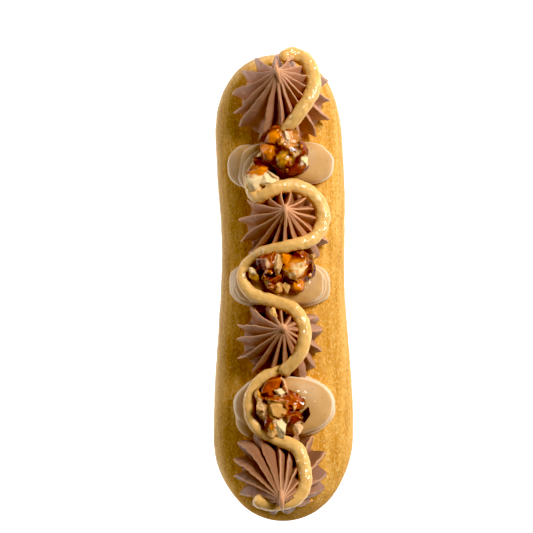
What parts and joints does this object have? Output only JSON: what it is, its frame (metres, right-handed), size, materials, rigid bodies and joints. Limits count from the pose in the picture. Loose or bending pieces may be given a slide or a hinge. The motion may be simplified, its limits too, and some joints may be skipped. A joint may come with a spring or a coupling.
{
  "type": "eclair",
  "caption": "Baked choux log topped in turn with star-piped chocolate rosettes and vanilla cream dollops, caramelised hazelnut pieces and a winding praline line.",
  "frame": {"origin": "middle of the eclair's outline in plan, on its flat base", "axes": "+Y along the log from its wider end to its narrower end, +X to the right seen from above with +Y up, +Z up"},
  "size_m": [0.0418, 0.14, 0.0455],
  "materials": {
    "choux": "matt, finely pored golden crust",
    "praline": "glossy, grainy nut paste",
    "caramel_nut": "very glossy amber caramel over pale nut",
    "vanilla_cream": "satin whipped cream with vanilla seeds",
    "chocolate_cream": "satin whipped chocolate cream"
  },
  "bodies": {
    "root": {"choux": "choux", "praline_line_1": "praline", "praline_line_2": "praline", "nut_clump_1": "caramel_nut", "nut_half_1": "caramel_nut", "nut_clump_2_left": "caramel_nut", "nut_piece_2": "caramel_nut", "nut_clump_2_right": "caramel_nut", "nut_clump_3": "caramel_nut", "dollop_1": "vanilla_cream", "dollop_2": "vanilla_cream", "dollop_3": "vanilla_cream", "rosette_1": "chocolate_cream", "rosette_2": "chocolate_cream", "rosette_3": "chocolate_cream", "rosette_4": "chocolate_cream"}
  },
  "joints": []
}
